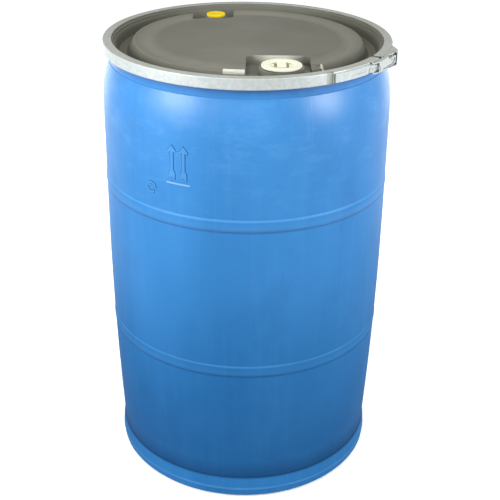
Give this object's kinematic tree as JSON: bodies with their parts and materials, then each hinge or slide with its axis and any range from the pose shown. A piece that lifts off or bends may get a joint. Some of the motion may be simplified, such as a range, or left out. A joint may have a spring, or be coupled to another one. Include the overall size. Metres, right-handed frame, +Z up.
{
  "type": "plastic open head drum",
  "caption": "Blue plastic open head drum with two rolling beads, a grey cover with two screw plugs, and a galvanised closing ring with an over-centre lever.",
  "frame": {"origin": "on the drum's axis at floor level, under the middle of the base", "axes": "+Z up along the drum's axis, -Y the front as pictured, +X to the right; the latch is at the front right"},
  "size_m": [0.5836, 0.5836, 0.931],
  "materials": {
    "blue_plastic": "satin moulded polyethylene",
    "grey_plastic": "satin moulded polyethylene",
    "black_rubber": "dull",
    "galvanised_steel": "zinc-coated, dull sheen",
    "cream_plastic": "smooth moulded",
    "white_plastic": "smooth moulded",
    "yellow_plastic": "smooth moulded"
  },
  "bodies": {
    "drum_body": {"drum_body": "blue_plastic"},
    "cover": {"cover": "grey_plastic", "cover_gasket": "black_rubber"},
    "ring": {"ring_band": "galvanised_steel", "lever_bracket": "galvanised_steel", "lever_bracket_rivets": "galvanised_steel", "lever_pin": "galvanised_steel", "link_bracket": "galvanised_steel", "link_bracket_rivets": "galvanised_steel"},
    "lever": {"lever": "galvanised_steel", "link_pin": "galvanised_steel"},
    "link": {"link": "galvanised_steel", "hook_pin": "galvanised_steel"},
    "main_washer": {"main_plug_gasket": "black_rubber"},
    "main_plug": {"main_plug": "cream_plastic"},
    "vent_washer": {"vent_plug_gasket": "black_rubber"},
    "vent_plug": {"vent_plug": "white_plastic"},
    "cap_seal": {"cap_seal": "yellow_plastic"}
  },
  "joints": [
    {"name": "cover_lift", "type": "slide", "parent": "drum_body", "child": "cover", "axis": [0, 0, 1], "range_m": [0, 0.12]},
    {"name": "ring_lift", "type": "slide", "parent": "drum_body", "child": "ring", "axis": [0, 0, 1], "range_m": [0, 0.25], "deforming": ["ring_band"]},
    {"name": "lever_open", "type": "hinge", "parent": "ring", "child": "lever", "pos_m": [0.24283, -0.16072, 0.92], "axis": [0, 0, 1], "range_deg": [0, 115]},
    {"name": "link_swing", "type": "hinge", "parent": "lever", "child": "link", "pos_m": [0.22985, -0.17765, 0.92], "axis": [0, 0, 1], "range_deg": [-115, 0]},
    {"name": "main_plug_turn", "type": "hinge", "parent": "main_washer", "child": "main_plug", "pos_m": [0.0625, -0.186, 0.92], "axis": [0, 0, 1], "range_deg": [0, 3240]},
    {"name": "main_plug_rise", "type": "slide", "parent": "cover", "child": "main_washer", "axis": [0, 0, 1], "range_m": [0, 0.0199]},
    {"name": "vent_plug_turn", "type": "hinge", "parent": "vent_washer", "child": "vent_plug", "pos_m": [-0.0685, 0.184, 0.92], "axis": [0, 0, 1], "range_deg": [0, 3240]},
    {"name": "vent_plug_rise", "type": "slide", "parent": "cover", "child": "vent_washer", "axis": [0, 0, 1], "range_m": [0, 0.0164]},
    {"name": "cap_seal_pull", "type": "slide", "parent": "vent_plug", "child": "cap_seal", "axis": [0, 0, 1], "range_m": [0, 0.03]}
  ],
  "couplings": [
    {"joint": "link_swing", "follows": "lever_open", "ratio": -1},
    {"joint": "main_plug_rise", "follows": "main_plug_turn", "m_per_rad": 0.00035157},
    {"joint": "vent_plug_rise", "follows": "vent_plug_turn", "m_per_rad": 0.0002887}
  ]
}
